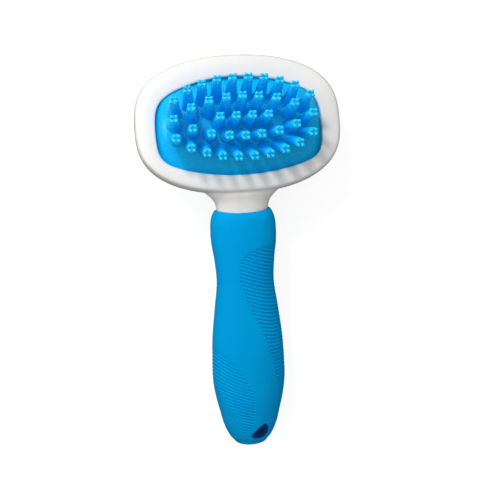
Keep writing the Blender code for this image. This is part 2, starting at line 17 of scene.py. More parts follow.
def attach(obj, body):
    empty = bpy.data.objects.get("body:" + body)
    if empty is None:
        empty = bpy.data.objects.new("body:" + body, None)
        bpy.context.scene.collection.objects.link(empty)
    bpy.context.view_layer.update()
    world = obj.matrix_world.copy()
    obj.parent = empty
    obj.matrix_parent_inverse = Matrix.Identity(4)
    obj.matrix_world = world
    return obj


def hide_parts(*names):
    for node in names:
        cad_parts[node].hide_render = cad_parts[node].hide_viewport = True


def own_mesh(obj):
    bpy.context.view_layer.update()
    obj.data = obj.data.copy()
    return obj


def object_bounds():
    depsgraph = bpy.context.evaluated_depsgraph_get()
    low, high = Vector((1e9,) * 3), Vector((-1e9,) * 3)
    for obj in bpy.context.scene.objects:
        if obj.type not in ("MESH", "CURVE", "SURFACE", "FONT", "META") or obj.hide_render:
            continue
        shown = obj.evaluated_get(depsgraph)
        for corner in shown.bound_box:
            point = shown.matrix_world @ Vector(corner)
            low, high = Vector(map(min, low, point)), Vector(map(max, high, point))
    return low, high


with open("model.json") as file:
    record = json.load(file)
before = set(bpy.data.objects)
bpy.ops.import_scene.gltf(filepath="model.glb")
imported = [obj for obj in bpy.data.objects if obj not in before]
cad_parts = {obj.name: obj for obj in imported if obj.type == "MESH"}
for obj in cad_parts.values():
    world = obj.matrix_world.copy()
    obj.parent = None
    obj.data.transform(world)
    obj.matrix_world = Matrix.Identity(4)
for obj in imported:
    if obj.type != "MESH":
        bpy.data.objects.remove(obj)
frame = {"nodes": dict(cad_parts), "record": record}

CAD_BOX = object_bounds()
MM = 0.001
GAP = 0.3 * MM                      # between pieces that meet in the CAD
SEAM = 0.15 * MM                    # between the pad and the bezel

# --- sizes shared with the CAD ---------------------------------------------------
HEAD_HALF = (46.0 * MM, 31.1 * MM)
HEAD_CENTRE_Y = 1.0 * MM
HEAD_POWERS = (2.2, 2.8)
# four arcs bound the pad's opening: facing, distance from the pad's middle, radius
PAD_ARCS = ((0.0, 37.3 * MM, 150.0 * MM), (0.5 * math.pi, 21.9 * MM, 70.0 * MM),
            (math.pi, 37.3 * MM, 150.0 * MM), (-0.5 * math.pi, 22.7 * MM, 97.0 * MM))
PAD_CORNERS = 12
PAD_SIDE = PAD_ARCS[0][1]
BACK_PLANE = -16.0 * MM
BACK_HALF = (31.0 * MM, 19.0 * MM)
BACK_FAR_EDGE = 18.8 * MM
PART_LINE = -6.3 * MM
SHELL_WALL = 2.2 * MM

DOME_HEIGHT = 4.9 * MM
DOME_RADIUS = (272.0 * MM, 31.8 * MM)
DOME_END_DROP = 5.3 * MM
DOME_END_POWER = 12
SKIN = 1.2 * MM
FLANGE_TOP = -3.6 * MM
FLANGE_BOTTOM = -5.2 * MM
FLANGE_REACH = 1.2 * MM
VENT_PLACE = (0.4 * MM, -3.0 * MM)
VENT_RADIUS = 0.45 * MM
MIDDLE_BRISTLES = ((3.3, 0.0), (10.0, 0.0), (0.0, 6.1), (6.7, 5.8), (14.0, 5.0), (21.4, 3.2))
OUTER_BRISTLES = ((3.3, 12.2), (9.8, 11.8), (16.2, 10.6), (22.4, 8.9), (28.3, 5.8), (28.8, 0.0))

COLLAR = (-36.0 * MM, -11.6 * MM)
DROOP = (math.radians(14.0), math.radians(21.0))
HANDLE_LENGTH = 111.3 * MM
SECTION_POWER = 2.15
# distance from the collar, half width, half thickness, in mm
GRIP_STATIONS = ((0.1, 12.3, 7.1), (0.9, 13.0, 7.65), (2.2, 13.7, 8.2), (5.5, 14.6, 8.8),
                 (9.5, 14.85, 9.05), (14.0, 14.75, 9.2), (23.0, 13.6, 9.2), (33.0, 13.0, 9.2),
                 (44.0, 14.3, 9.8), (58.0, 15.95, 10.8), (70.0, 16.55, 11.3), (78.0, 16.6, 11.4),
                 (86.0, 15.6, 11.0), (94.0, 13.8, 10.0), (100.0, 12.3, 9.0), (104.0, 10.7, 8.0),
                 (107.5, 8.4, 6.5), (110.0, 5.2, 4.2), (111.3, 0.0, 0.0))
# the same, and how far the section is raised off the handle's axis
NECK_STATIONS = ((-15.0, 24.0, 4.6, -3.2), (-10.0, 19.2, 7.1, 0.2), (-7.0, 15.6, 7.2, 0.7),
                 (-4.0, 12.8, 6.6, 0.4), (0.0, 11.7, 6.2, 0.05), (4.0, 11.6, 6.1, 0.0),
                 (8.0, 11.6, 6.1, 0.0))
# distance from the collar, how far the top and bottom are swept towards the butt, in mm
COLLAR_SWEEP = ((0.1, 2.0), (2.2, 1.3), (5.5, 0.6), (9.5, 0.0), (12.0, 0.0))
GRIP_WALL = 2.1 * MM
CORE_WALL = 2.0 * MM
CORE_END = 95.0 * MM
COVER_START = 7.0 * MM
CORE_SCREWS = (20.0 * MM, 50.0 * MM, 80.0 * MM)
CORE_POST_RADIUS = 2.8 * MM
SCREW_HOLE_RADIUS = 1.3 * MM

HOLE_FROM_COLLAR = 102.9 * MM
HOLE_ASIDE = 2.95 * MM
HOLE_HALF_LENGTH = 4.6 * MM
HOLE_FLAT_BULGE = 1.2 * MM
HOLE_ROUND_BULGE = 4.6 * MM
HOLE_TURN = math.radians(43.0)


def head_matrix():
    """The head's frame in the row's frame, from the flat panel on its back."""
    panel = next(m for m in frame["record"]["mounts"] if m["name"] == "back_panel")
    out = -Vector(panel["axis"]).normalized()
    across = Vector((1.0, 0.0, 0.0))
    far = out.cross(across)
    origin = Vector(panel["pos_m"]) - HEAD_CENTRE_Y * far - BACK_PLANE * out
    return Matrix.Translation(origin) @ Matrix((across, far, out)).transposed().to_4x4()


HEAD = head_matrix()
HEAD_OUT = HEAD.to_3x3() @ Vector((0.0, 0.0, 1.0))


# --- camera ---------------------------------------------------------------------
VIEW_DISTANCE = 0.560
VIEW_FROM_LEFT = math.radians(8.36)
VIEW_FROM_HANDLE = math.radians(5.73)
VIEW_ROLL = math.radians(-4.61)
AIM_RIGHT = 0.0048                  # the picture's centre, from the head's origin
AIM_UP = -0.0557
LENS = 91.15


def make_camera():
    """The camera, nearly square above the brush, with the picture's centre on its neck."""
    side, low = math.sin(VIEW_FROM_LEFT), math.sin(VIEW_FROM_HANDLE)
    deep = math.cos(VIEW_FROM_HANDLE)
    back = Vector((-side * deep, -low, math.cos(VIEW_FROM_LEFT) * deep))
    right = Vector((0.0, 1.0, 0.0)).cross(back).normalized()
    up = back.cross(right)
    roll = Matrix.Rotation(VIEW_ROLL, 3, back)
    right, up = roll @ right, roll @ up
    place = AIM_RIGHT * right + AIM_UP * up + VIEW_DISTANCE * back
    pose = Matrix((right, up, back)).transposed().to_4x4()
    data = bpy.data.cameras.new("photo_view")
    data.lens = LENS
    data.sensor_width = 36.0
    data.clip_start = 0.01
    camera = bpy.data.objects.new("photo_view", data)
    bpy.context.scene.collection.objects.link(camera)
    camera.matrix_world = HEAD @ Matrix.Translation(place) @ pose
    bpy.context.scene.camera = camera


# --- light and floor --------------------------------------------------------------
SKY_TOWARDS = (-0.35, 0.65, 0.67)   # the studio is brightest this way, in the head's frame
SKY_DARK = 0.47
SKY_BRIGHT = 0.62
SKY_BELOW = 0.15                    # share of the sky's light that comes from below the brush
# name, direction in the head's frame, distance, size, power
LIGHTS = (("key", (-0.353, 0.556, 0.754), 0.9, 0.16, 3.9),
          ("left_box", (-0.83, 0.22, 0.52), 0.5, 0.13, 0.6),
          ("spark", (-0.45, 0.34, 0.82), 0.9, 0.07, 0.3))
FLOOR_HALF = 2.0
FLOOR_GLOW = 0.82
FLOOR_SHADE = (6.0 * MM, 9.0 * MM)  # the painted shade under the hanging hole, a dark patch of floor colour without glow: full to here, none from here


# --- shader helpers ---------------------------------------------------------------
class Shader:
    """A Principled material with short calls for the nodes around it."""

    def __init__(self, name):
        self.material = bpy.data.materials.new(name)
        self.material.use_nodes = True
        self.tree = self.material.node_tree
        self.main = self.tree.nodes["Principled BSDF"]
        self.place = self.node("ShaderNodeTexCoord").outputs["Object"]

    def node(self, kind, **settings):
        made = self.tree.nodes.new(kind)
        for name, value in settings.items():
            setattr(made, name, value)
        return made

    def link(self, source, target):
        self.tree.links.new(source, target)

    def set(self, **values):
        for name, value in values.items():
            self.main.inputs[name.replace("_", " ")].default_value = value

    def noise(self, scale, detail=3.0, rough=0.5, stretch=None):
        place = self.place
        if stretch:
            scaling = self.node("ShaderNodeMapping")
            scaling.inputs["Scale"].default_value = stretch
            self.link(place, scaling.inputs["Vector"])
            place = scaling.outputs["Vector"]
        made = self.node("ShaderNodeTexNoise")
        made.inputs["Scale"].default_value = scale
        made.inputs["Detail"].default_value = detail
        made.inputs["Roughness"].default_value = rough
        self.link(place, made.inputs["Vector"])
        return made.outputs["Fac"]

    def spread(self, value, low, high, start=0.3, end=0.7):
        made = self.node("ShaderNodeMapRange")
        made.inputs["From Min"].default_value = start
        made.inputs["From Max"].default_value = end
        made.inputs["To Min"].default_value = low
        made.inputs["To Max"].default_value = high
        self.link(value, made.inputs["Value"])
        return made.outputs["Result"]

    def mix(self, fraction, first, second):
        made = self.node("ShaderNodeMix", data_type="RGBA")
        for socket, value in ((made.inputs[0], fraction), (made.inputs[6], first),
                              (made.inputs[7], second)):
            if isinstance(value, (float, tuple)):
                socket.default_value = value if isinstance(value, float) else (*value, 1.0)
            else:
                self.link(value, socket)
        return made.outputs[2]

    def math(self, operation, first, second):
        made = self.node("ShaderNodeMath", operation=operation)
        for socket, value in zip(made.inputs, (first, second)):
            if isinstance(value, float):
                socket.default_value = value
            else:
                self.link(value, socket)
        return made.outputs[0]

    def bump(self, height, distance, strength=1.0, under=None):
        made = self.node("ShaderNodeBump")
        made.inputs["Strength"].default_value = strength
        made.inputs["Distance"].default_value = distance
        self.link(height, made.inputs["Height"])
        if under:
            self.link(under, made.inputs["Normal"])
        return made.outputs["Normal"]

    def feed(self, socket, value):
        self.link(value, self.main.inputs[socket])


def white_abs():
    """Glossy moulded ABS with a faint waviness, fine scuffs and uneven gloss."""
    s = Shader("white_abs")
    tone = s.noise(45.0, 2.0)
    s.feed("Base Color", s.mix(s.spread(tone, 0.0, 1.0), (0.84, 0.825, 0.80), (0.87, 0.855, 0.83)))
    scuffs = s.noise(900.0, 4.0, 0.65)
    s.feed("Roughness", s.math("ADD", s.spread(s.noise(160.0), 0.22, 0.28),
                               s.spread(scuffs, 0.0, 0.05, 0.5, 0.8)))
    waves = s.bump(s.noise(110.0, 2.0), 0.0001, 0.3)
    s.feed("Normal", s.bump(s.noise(2600.0, 2.0), 0.000012, 0.5, waves))
    s.set(IOR=1.5, Specular_IOR_Level=0.4, Subsurface_Weight=0.1,
          Subsurface_Radius=(0.0015, 0.0015, 0.0013), Subsurface_Scale=1.0)
    return s.material


def pad_rubber():
    """Soft blue rubber that lets a little light through, with a satin skin and a faint painted glow
    that stands in for the light carried through it.
    """
    s = Shader("pad_rubber")
    tone = s.noise(60.0, 3.0)
    s.feed("Base Color", s.mix(s.spread(tone, 0.0, 1.0), (0.0, 0.44, 0.86), (0.0, 0.49, 0.93)))
    s.feed("Roughness", s.spread(s.noise(420.0, 3.0), 0.22, 0.34))
    coarse = s.bump(s.noise(700.0, 2.0), 0.00004, 0.3)
    s.feed("Normal", s.bump(s.noise(4200.0, 2.0), 0.00001, 0.5, coarse))
    # the emission is a painted glow, not a lamp: it stands in for light carried through the rubber
    s.set(IOR=1.45, Specular_IOR_Level=0.45, Subsurface_Weight=0.6,
          Subsurface_Radius=(0.0003, 0.0014, 0.003), Subsurface_Scale=1.0,
          Specular_Tint=(0.4, 0.85, 1.0, 1.0), Emission_Color=(0.0, 0.35, 0.6, 1.0),
          Emission_Strength=0.03)
    return s.material


def bristle_rubber():
    """The same rubber on the bristles. Its colour is painted paler towards the thin tips as painted
    light for the light that gets through them, and it has a faint painted glow.
    """
    s = Shader("bristle_rubber")
    height = s.node("ShaderNodeVectorMath", operation="DOT_PRODUCT")
    s.link(s.place, height.inputs[0])
    height.inputs[1].default_value = HEAD_OUT
    level = HEAD.translation.dot(HEAD_OUT)
    # painted light: the colour grows paler with height up the bristles, standing in for light that
    # gets through the thin tips
    up = s.spread(height.outputs["Value"], 0.0, 1.0, level + 8.0 * MM, level + 18.0 * MM)
    cloud = s.spread(s.noise(380.0, 3.0), -0.12, 0.12)
    s.feed("Base Color", s.mix(s.math("ADD", up, cloud), (0.0, 0.40, 0.90), (0.02, 0.58, 0.95)))
    s.feed("Roughness", s.spread(s.noise(420.0, 3.0), 0.25, 0.38))
    s.feed("Normal", s.bump(s.noise(3800.0, 2.0), 0.00001, 0.5))
    # the emission is a painted glow, not a lamp: it stands in for light carried through the rubber
    s.set(IOR=1.45, Specular_IOR_Level=0.5, Subsurface_Weight=0.8,
          Subsurface_Radius=(0.0003, 0.0016, 0.0035), Subsurface_Scale=1.0,
          Specular_Tint=(0.4, 0.9, 1.0, 1.0), Emission_Color=(0.0, 0.45, 0.55, 1.0),
          Emission_Strength=0.07)
    return s.material


def grip_rubber():
    """Soft-touch rubber: matte, with a fine leathery grain and a soft sheen."""
    s = Shader("grip_rubber")
    tone = s.noise(38.0, 3.0)
    s.feed("Base Color", s.mix(s.spread(tone, 0.0, 1.0), (0.0, 0.315, 0.68), (0.0, 0.34, 0.73)))
    s.feed("Roughness", s.spread(s.noise(300.0, 3.0), 0.52, 0.66))
    grain = s.bump(s.noise(2600.0, 3.0, 0.6), 0.00005, 0.5)
    s.feed("Normal", s.bump(s.noise(240.0, 2.0), 0.0001, 0.2, grain))
    s.set(IOR=1.4, Specular_IOR_Level=0.15, Specular_Tint=(0.1, 0.6, 1.0, 1.0))
    return s.material


def inner_plastic():
    """Unpolished grey plastic with spark-eroded grain."""
    s = Shader("inner_plastic")
    s.feed("Base Color", s.mix(s.spread(s.noise(80.0), 0.0, 1.0), (0.55, 0.56, 0.57),
                               (0.63, 0.64, 0.65)))
    s.feed("Roughness", s.spread(s.noise(500.0), 0.45, 0.6))
    s.feed("Normal", s.bump(s.noise(3000.0, 3.0), 0.00004, 0.5))
    return s.material


def screw_steel():
    """Zinc-plated steel with turning marks around the screw's axis."""
    s = Shader("screw_steel")
    s.set(Metallic=1.0)
    s.feed("Base Color", s.mix(s.spread(s.noise(900.0), 0.0, 1.0), (0.55, 0.56, 0.58),
                               (0.70, 0.71, 0.72)))
    s.feed("Roughness", s.spread(s.noise(1500.0), 0.22, 0.38))
    s.feed("Normal", s.bump(s.noise(5000.0, 2.0, stretch=(0.2, 0.2, 4.0)), 0.00002, 0.4))
    return s.material


def floor_paper(under):
    """A white light table, matte and softly lit from below, with a painted shade about a point:
    dark colour and no glow there.
    """
    s = Shader("floor_paper")
    away = s.node("ShaderNodeVectorMath", operation="DISTANCE")
    s.link(s.place, away.inputs[0])
    away.inputs[1].default_value = under
    lit = s.spread(away.outputs["Value"], 0.0, 1.0, *FLOOR_SHADE)
    paper = s.mix(s.spread(s.noise(6.0), 0.0, 1.0), (0.34, 0.34, 0.34), (0.36, 0.36, 0.36))
    # painted shade: dark navy floor colour and no glow near the point under the hanging hole
    s.feed("Base Color", s.mix(lit, (0.0, 0.06, 0.25), paper))
    s.feed("Emission Strength", s.math("MULTIPLY", lit, FLOOR_GLOW))
    s.set(Roughness=0.9, Specular_IOR_Level=0.1, Emission_Color=(1.0, 1.0, 1.0, 1.0))
    return s.material


WHITE = white_abs()
PAD = pad_rubber()
BRISTLE = bristle_rubber()
GRIP = grip_rubber()
INNER = inner_plastic()
STEEL = screw_steel()


# --- mesh helpers -------------------------------------------------------------------
def oval(half, powers, count, centre_y=0.0):
    """Points at equal steps around a rounded oval (a superellipse), from +X, as an array."""
    turn = np.linspace(0.0, 2.0 * np.pi, 8 * count + 1)
    c, s = np.cos(turn), np.sin(turn)
    x = half[0] * np.sign(c) * np.abs(c) ** (2.0 / powers[0])
    y = half[1] * np.sign(s) * np.abs(s) ** (2.0 / powers[1])
    walked = np.concatenate(([0.0], np.cumsum(np.hypot(np.diff(x), np.diff(y)))))
    places = np.linspace(0.0, walked[-1], count, endpoint=False)
    return np.stack([np.interp(places, walked, x), np.interp(places, walked, y) + centre_y], 1)


def at_height(outline, z):
    """A flat outline as a ring of 3-D points at height z (a number, or one for each point)."""
    return np.column_stack([outline, np.broadcast_to(z, len(outline))])


def smooth_line(points, per_span):
    """A smooth open curve through rows of numbers (Catmull-Rom), per_span steps between them."""
    p = np.array(points, float)
    p = np.vstack([2 * p[0] - p[1], p, 2 * p[-1] - p[-2]])
    t = np.linspace(0.0, 1.0, per_span, endpoint=False)[:, None]
    spans = []
    for a, b, c, d in zip(p, p[1:], p[2:], p[3:]):
        spans.append(0.5 * (2 * b + (c - a) * t + (2 * a - 5 * b + 4 * c - d) * t**2
                            + (3 * b - a - 3 * c + d) * t**3))
    return np.vstack(spans + [p[-2:-1]])


def along(stations, places):
    """Smooth values of a table of (distance in mm, values in mm) at places in metres."""
    table = np.array(stations, float)
    x = table[:, 0]
    at = np.asarray(places) / MM
    slope = np.gradient(table[:, 1:], x, axis=0)
    k = np.clip(np.searchsorted(x, at, "right") - 1, 0, len(x) - 2)
    span = (x[k + 1] - x[k])[:, None]
    t = (at - x[k])[:, None] / span
    low, high = table[k, 1:], table[k + 1, 1:]
    value = ((2 * t**3 - 3 * t**2 + 1) * low + (t**3 - 2 * t**2 + t) * span * slope[k]
             + (3 * t**2 - 2 * t**3) * high + (t**3 - t**2) * span * slope[k + 1])
    return value * MM


def rings_mesh(name, rings, hoop=False):
    """A mesh over equal closed rings; a hoop closes on itself, else both ends are capped."""
    rings = np.asarray(rings)
    count, size = rings.shape[:2]
    k = np.arange(count if hoop else count - 1)[:, None] * size
    i = np.arange(size)[None, :]
    j = (i + 1) % size
    up = (k + size) % (count * size)
    faces = np.stack([k + i, k + j, up + j, up + i], -1).reshape(-1, 4).tolist()
    verts = rings.reshape(-1, 3).tolist()
    if not hoop:
        for start in (0, (count - 1) * size):
            hub = len(verts)
            verts.append(rings.reshape(-1, 3)[start:start + size].mean(0).tolist())
            faces += [[start + a, start + (a + 1) % size, hub] for a in range(size)]
    mesh = bpy.data.meshes.new(name)
    mesh.from_pydata(verts, [], faces)
    shape = bmesh.new()
    shape.from_mesh(mesh)
    bmesh.ops.recalc_face_normals(shape, faces=shape.faces)
    shape.to_mesh(mesh)
    shape.free()
    made = bpy.data.objects.new(name, mesh)
    bpy.context.scene.collection.objects.link(made)
    return made


def apply_modifiers(piece):
    """Bake the piece's modifiers into its mesh."""
    bpy.context.view_layer.update()
    graph = bpy.context.evaluated_depsgraph_get()
    mesh = bpy.data.meshes.new_from_object(piece.evaluated_get(graph))
    piece.modifiers.clear()
    old = piece.data
    piece.data = mesh
    mesh.name = piece.name
    bpy.data.meshes.remove(old)


def combine(piece, tools, operation):
    """Join or cut a piece with tool objects, which are then removed."""
    for tool in tools:
        step = piece.modifiers.new(tool.name, "BOOLEAN")
        step.operation = operation
        step.solver = "EXACT"
        step.object = tool
        apply_modifiers(piece)
        bpy.data.objects.remove(tool, do_unlink=True)


def settle(piece, finish, body, slot, *nodes, sharp=40.0):
    """Turn a shape from the head's frame into the row's, and hand it to the frame."""
    piece.data.transform(HEAD)
    piece.data.materials.clear()
    piece.data.materials.append(finish)
    piece.data.shade_smooth()
    piece.data.set_sharp_from_angle(angle=math.radians(sharp))
    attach(piece, body)
    if nodes:
        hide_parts(*nodes)


# --- head ---------------------------------------------------------------------------
def head_outline(inset, count):
    return oval((HEAD_HALF[0] - inset, HEAD_HALF[1] - inset), HEAD_POWERS, count, HEAD_CENTRE_Y)


def pad_outline(towards, grow=0.0):
    """The pad opening's outline, grown by a margin, in the directions of given points."""
    direction = np.arctan2(towards[:, 1], towards[:, 0])
    total = 0.0
    for facing, apex, radius in PAD_ARCS:
        back = (radius - apex) * np.cos(direction - facing)
        reach = np.sqrt(back**2 + (radius + grow)**2 - (radius - apex)**2) - back
        total = total + reach**-float(PAD_CORNERS)
    reach = total**(-1.0 / PAD_CORNERS)
    return np.stack([reach * np.cos(direction), reach * np.sin(direction)], 1)


def make_bezel():
    """The white band: a rounded hoop with a lip over the pad and a side wall."""
    count = 320
    outer = head_outline(0.0, count)
    inner = pad_outline(outer)
    # share of the way from the pad opening to the outline, height in mm
    face = smooth_line(((0.0, -2.6), (0.0, -1.2), (0.0, -0.2), (0.012, 0.15), (0.04, 0.4),
                        (0.12, 0.6), (0.25, 0.7), (0.42, 0.7), (0.6, 0.55), (0.76, 0.25),
                        (0.88, -0.25), (0.96, -1.2), (1.0, -2.9), (1.0, -4.6), (1.0, -6.0)), 5)
    rings = [at_height((1 - a) * inner + a * outer, z * MM) for a, z in face]
    rings.append(at_height(head_outline(0.15 * MM, count), PART_LINE))
    rings.append(at_height(head_outline(1.9 * MM, count), PART_LINE))
    rings.append(at_height(head_outline(2.0 * MM, count), -3.4 * MM))
    rings.append(at_height(inner, -3.3 * MM))
    bezel = rings_mesh("bezel", rings, hoop=True)
    settle(bezel, WHITE, "brush", "white_shell", "head_bezel", sharp=50.0)


def dome(x, y):
    """Height of the cushion's outer face above the head's plane."""
    bulge = DOME_HEIGHT - y * y / (2 * DOME_RADIUS[1]) - x * x / (2 * DOME_RADIUS[0])
    return bulge - DOME_END_DROP * (abs(x) / PAD_SIDE) ** DOME_END_POWER


def mirrored(places):
    """Every place in mm with its reflections in x and in y, each once."""
    found = []
    for x, y in places:
        for sx in (1, -1):
            for sy in (1, -1):
                point = (sx * x * MM, sy * y * MM)
                if point not in found:
                    found.append(point)
    return found


def make_cushion():
    """The cushion's skin: dome, sloping margin and the flange under the bezel's lip."""
    count = 240
    towards = oval((PAD_SIDE, PAD_ARCS[3][1]), (2.8, 2.8), count)
    edge = pad_outline(towards, -SEAM)
    flange = pad_outline(towards, FLANGE_REACH)
    root = pad_outline(towards, -1.6 * MM)
    shares = np.concatenate((np.linspace(0.02, 0.9, 34), np.linspace(0.915, 1.0, 10)))
    rings = [at_height(s * edge, dome(s * edge[:, 0], s * edge[:, 1])) for s in shares]
    rings.append(at_height(edge, FLANGE_TOP))
    rings.append(at_height(flange, FLANGE_TOP))
    rings.append(at_height(flange, FLANGE_BOTTOM))
    rings.append(at_height(root, FLANGE_BOTTOM))
    for s in shares[-14::-4]:
        rings.append(at_height(s * edge, dome(s * edge[:, 0], s * edge[:, 1]) - SKIN))
    cushion = rings_mesh("cushion_skin", rings)
    bore = rings_mesh("vent", [at_height(oval((VENT_RADIUS, VENT_RADIUS), (2, 2), 20), z)
                               + np.array([*VENT_PLACE, 0.0]) for z in (0.0, 8.0 * MM)])
    combine(cushion, [bore], "DIFFERENCE")
    settle(cushion, PAD, "brush", "pad_rubber", "cushion_skirt")
    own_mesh(cushion)


def bristle_shape():
    """One bristle on the Z axis: a flared root, a tapering stem and a crown of four nubs."""
    stem = smooth_line(((3.7, -0.8), (3.15, 0.05), (2.78, 0.8), (2.6, 2.0), (2.42, 5.0),
                        (2.2, 9.0), (2.02, 12.2), (1.98, 13.2), (1.8, 13.9), (1.3, 14.15),
                        (0.6, 14.1)), 3)
    circle = oval((1.0, 1.0), (2, 2), 24)
    piece = rings_mesh("bristle", [at_height(r * MM * circle, z * MM) for r, z in stem])
    nub = smooth_line(((0.7, 12.0), (0.78, 13.4), (0.78, 14.4), (0.66, 15.1), (0.32, 15.5)), 3)
    small = oval((1.0, 1.0), (2, 2), 16)
    nubs = []
    for quarter in range(4):
        turn = math.radians(45.0 + 90.0 * quarter)
        rings = []
        for r, z in nub:
            away = (1.22 + 0.06 * (z - 12.0)) * MM
            ring = at_height(r * MM * small, z * MM)
            rings.append(ring + np.array([away * math.cos(turn), away * math.sin(turn), 0.0]))
        nubs.append(rings_mesh(f"nub_{quarter}", rings))
    combine(piece, nubs, "UNION")
    return piece


def plant(name, places, template, body, node):
    """A group of bristles, each square to the dome, as one piece."""
    shape = bmesh.new()
    for x, y in places:
        normal = Vector((x / DOME_RADIUS[0], y / DOME_RADIUS[1], 1.0)).normalized()
        lean = Vector((0, 0, 1)).rotation_difference(normal).to_matrix().to_4x4()
        mesh = template.data.copy()
        mesh.transform(Matrix.Translation((x, y, dome(x, y))) @ lean)
        shape.from_mesh(mesh)
        bpy.data.meshes.remove(mesh)
    mesh = bpy.data.meshes.new(name)
    shape.to_mesh(mesh)
    shape.free()
    group = bpy.data.objects.new(name, mesh)
    bpy.context.scene.collection.objects.link(group)
    settle(group, BRISTLE, body, "pad_rubber", node, sharp=55.0)


def make_bristles():
    template = bristle_shape()
    plant("middle_bristles", mirrored(MIDDLE_BRISTLES), template, "cushion_middle",
          "cushion_centre")
    plant("outer_bristles", mirrored(OUTER_BRISTLES), template, "cushion_outer", "cushion_ring")
    bpy.data.objects.remove(template, do_unlink=True)


# --- neck, core and grip -----------------------------------------------------------------
def axis(distance):
    """Points, upward normals and slopes of the handle's axis at an array of distances."""
    bend = HANDLE_LENGTH / (DROOP[1] - DROOP[0])
    slope = DROOP[0] + np.asarray(distance) / bend
    y = COLLAR[0] - bend * (np.sin(slope) - math.sin(DROOP[0]))
    z = COLLAR[1] - bend * (math.cos(DROOP[0]) - np.cos(slope))
    points = np.stack([0 * y, y, z], -1)
    ups = np.stack([0 * y, -np.sin(slope), np.cos(slope)], -1)
    return points, ups, slope


def sections(distances, widths, thicks, sides, lifts=None):
    """Rounded cross-sections of the handle, one ring for each distance."""
    points, ups, _ = axis(distances)
    turn = 2.0 * np.pi * np.arange(sides) / sides
    c, s = np.cos(turn), np.sin(turn)
    x = np.sign(c) * np.abs(c) ** (2.0 / SECTION_POWER)
    h = np.sign(s) * np.abs(s) ** (2.0 / SECTION_POWER)
    lifts = np.zeros(len(points)) if lifts is None else lifts
    rings = points[:, None, :] + (thicks[:, None] * h + lifts[:, None])[..., None] * ups[:, None, :]
    rings[..., 0] += widths[:, None] * x
    return rings


def core_size(places):
    return along(GRIP_STATIONS, np.maximum(places, 4.0 * MM)) - GRIP_WALL - GAP


def post(name, place, low, high, radius):
    """A round post square to the handle's axis."""
    points, _, slope = axis([place])
    circle = oval((radius, radius), (2, 2), 32)
    made = rings_mesh(name, [at_height(circle, low), at_height(circle, high)])
    made.data.transform(Matrix.Translation(points[0]) @ Matrix.Rotation(slope[0], 4, "X"))
    return made


def make_body():
    """Back of the head, neck and open handle trough, blended into one moulding."""
    count = 160
    rim = PART_LINE - GAP
    wall = smooth_line(((0.0, 0.0), (0.8, -2.8), (4.0, -6.0), (8.0, -8.4)), 5)
    rings = [at_height(head_outline(i * MM, count), rim + z * MM) for i, z in wall]
    back = oval(BACK_HALF, HEAD_POWERS, count, HEAD_CENTRE_Y)
    back[:, 1] = np.minimum(back[:, 1], BACK_FAR_EDGE)
    last = head_outline(8.0 * MM, count)
    rings.append(at_height(0.5 * (last + back), BACK_PLANE + 0.38 * MM))
    rings.append(at_height(back, BACK_PLANE))
    body = rings_mesh("body", rings)

    neck_places = np.linspace(-15.0, 4.0, 40) * MM
    neck = along(NECK_STATIONS, neck_places)
    core_places = np.linspace(7.0 * MM, CORE_END, 50)
    core = np.column_stack([core_size(core_places), np.zeros(50)])
    size = np.vstack([neck, core])
    places = np.concatenate([neck_places, core_places])
    handle = rings_mesh("neck", sections(places, size[:, 0], size[:, 1], 72, size[:, 2]))
    combine(body, [handle], "UNION")

    depths = ((SHELL_WALL, 8.0), (SHELL_WALL + 0.5 * MM, -2.4), (SHELL_WALL + 4.2 * MM, -5.6),
              (SHELL_WALL + 8.5 * MM, -7.3))
    bowl = rings_mesh("bowl_hollow", [at_height(head_outline(i, 96), rim + z * MM)
                                      for i, z in depths])
    inner_places = np.linspace(0.0, CORE_END - CORE_WALL, 30)
    inner = np.where(inner_places[:, None] < 4.0 * MM, along(NECK_STATIONS, inner_places)[:, :2],
                     core_size(inner_places)) - CORE_WALL
    trough = rings_mesh("core_hollow", sections(inner_places, inner[:, 0], inner[:, 1], 48))
    above = []
    for place in (COVER_START, 30 * MM, 55 * MM, 80 * MM, CORE_END + 5 * MM):
        points, ups, _ = axis([place])
        above.append([points[0] + np.array((x * MM, 0, 0)) + h * MM * ups[0]
                      for x, h in ((-25, 0), (25, 0), (25, 25), (-25, 25))])
    opening = rings_mesh("trough_opening", above)
    combine(body, [bowl, trough, opening], "DIFFERENCE")
    posts, pilots = [], []
    for number, place in enumerate(CORE_SCREWS):
        floor = core_size([place])[0, 1] - 0.5 * CORE_WALL
        posts.append(post(f"post_{number}", place, -floor, -GAP, CORE_POST_RADIUS))
        pilots.append(post(f"pilot_{number}", place, -6.3 * MM, 2.0 * MM, SCREW_HOLE_RADIUS))
    combine(body, posts, "UNION")
    combine(body, pilots, "DIFFERENCE")

    remesh = body.modifiers.new("remesh", "REMESH")
    remesh.mode = "VOXEL"
    remesh.voxel_size = 0.42 * MM
    apply_modifiers(body)
    # the crease where the neck runs into the head is smoothed more than the rest
    group = body.vertex_groups.new(name="junction")
    places = np.array([v.co for v in body.data.vertices])
    near = np.exp(-((places[:, 1] + 31.0 * MM) / (6.0 * MM))**2) * (places[:, 2] < -8.0 * MM)
    for index in np.nonzero(near > 0.02)[0]:
        group.add([int(index)], float(near[index]), "REPLACE")
    blend = body.modifiers.new("blend", "SMOOTH")
    blend.vertex_group = "junction"
    blend.iterations = 30
    even = body.modifiers.new("even", "SMOOTH")
    even.iterations = 3
    apply_modifiers(body)
    settle(body, WHITE, "brush", "white_shell", "body_shell")


